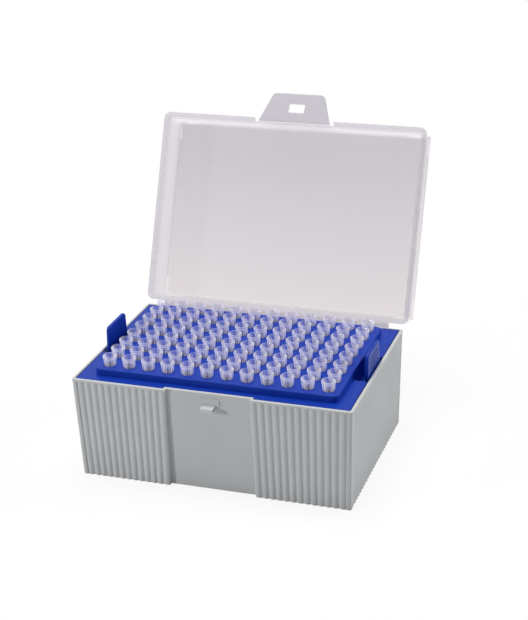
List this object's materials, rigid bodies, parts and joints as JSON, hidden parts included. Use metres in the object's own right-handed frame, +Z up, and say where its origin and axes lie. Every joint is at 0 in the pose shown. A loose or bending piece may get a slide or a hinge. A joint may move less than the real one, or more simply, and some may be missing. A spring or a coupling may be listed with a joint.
{
  "type": "box of pipette tips",
  "caption": "Hinged laboratory box with a ribbed base, a blue tray of long pipette tips and a clear lid with a latch flap, shown open.",
  "frame": {"origin": "middle of the base box's flat underside, on the table", "axes": "+X along the box, +Y from the latch towards the hinge, +Z up"},
  "size_m": [0.1286, 0.1448, 0.1409],
  "materials": {
    "grey_polypropylene": "satin",
    "blue_polypropylene": "satin",
    "clear_polypropylene": "translucent",
    "tip_polypropylene": "clear"
  },
  "bodies": {
    "box": {"base_box": "grey_polypropylene", "tip_tray": "blue_polypropylene", "hinge_strip": "clear_polypropylene", "tips_column_01": "tip_polypropylene", "tips_column_02": "tip_polypropylene", "tips_column_03": "tip_polypropylene", "tips_column_04": "tip_polypropylene", "tips_column_05": "tip_polypropylene", "tips_column_06": "tip_polypropylene", "tips_column_07": "tip_polypropylene", "tips_column_08": "tip_polypropylene", "tips_column_09": "tip_polypropylene", "tips_column_10": "tip_polypropylene", "tips_column_11": "tip_polypropylene", "tips_column_12": "tip_polypropylene"},
    "lid": {"lid": "clear_polypropylene"},
    "latch": {"latch_flap": "clear_polypropylene"}
  },
  "joints": [
    {"name": "lid_hinge", "type": "hinge", "parent": "box", "child": "lid", "pos_m": [0, 0.04645, 0.0468], "axis": [1, 0, 0], "range_deg": [0, 113.35]},
    {"name": "latch_hinge", "type": "hinge", "parent": "lid", "child": "latch", "pos_m": [0, 0.083, 0.1297], "axis": [1, 0, 0], "range_deg": [0, 116.5]}
  ]
}
